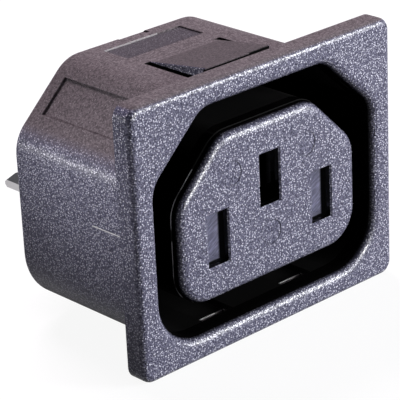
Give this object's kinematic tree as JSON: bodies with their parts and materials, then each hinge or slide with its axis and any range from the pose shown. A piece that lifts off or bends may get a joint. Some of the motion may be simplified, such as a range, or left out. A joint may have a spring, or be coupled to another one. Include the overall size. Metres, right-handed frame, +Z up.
{
  "type": "panel mount appliance outlet",
  "caption": "Snap-in panel outlet for an earthed appliance plug: rectangular flange, well round a slotted nose, sprung latches above and below, tab terminals at the back.",
  "frame": {"origin": "centre of the flange's back face, where it lies on the panel", "axes": "+Y goes through the panel towards the terminals, +X to the right seen from the front, +Z up with the earth slot above the other two"},
  "size_m": [0.0344, 0.0291, 0.0276],
  "materials": {
    "moulded_plastic": "black thermoplastic with a fine spark-eroded grain",
    "tinned_brass": "dull tin plating"
  },
  "bodies": {
    "outlet": {"housing": "moulded_plastic", "rear_cover": "moulded_plastic", "left_contact": "tinned_brass", "right_contact": "tinned_brass", "earth_contact": "tinned_brass"},
    "upper_snap": {"top_latch": "moulded_plastic"},
    "lower_left_snap": {"bottom_left_latch": "moulded_plastic"},
    "lower_right_snap": {"bottom_right_latch": "moulded_plastic"}
  },
  "joints": [
    {"name": "top_latch_press", "type": "hinge", "parent": "outlet", "child": "upper_snap", "pos_m": [0, 0.00927, 0.0123], "axis": [1, 0, 0], "range_deg": [0, 8], "stiffness_Nm_per_rad": 0.3},
    {"name": "bottom_left_latch_press", "type": "hinge", "parent": "outlet", "child": "lower_left_snap", "pos_m": [-0.00545, 0.00927, -0.0123], "axis": [-1, 0, 0], "range_deg": [0, 8], "stiffness_Nm_per_rad": 0.13},
    {"name": "bottom_right_latch_press", "type": "hinge", "parent": "outlet", "child": "lower_right_snap", "pos_m": [0.00545, 0.00927, -0.0123], "axis": [-1, 0, 0], "range_deg": [0, 8], "stiffness_Nm_per_rad": 0.13}
  ]
}
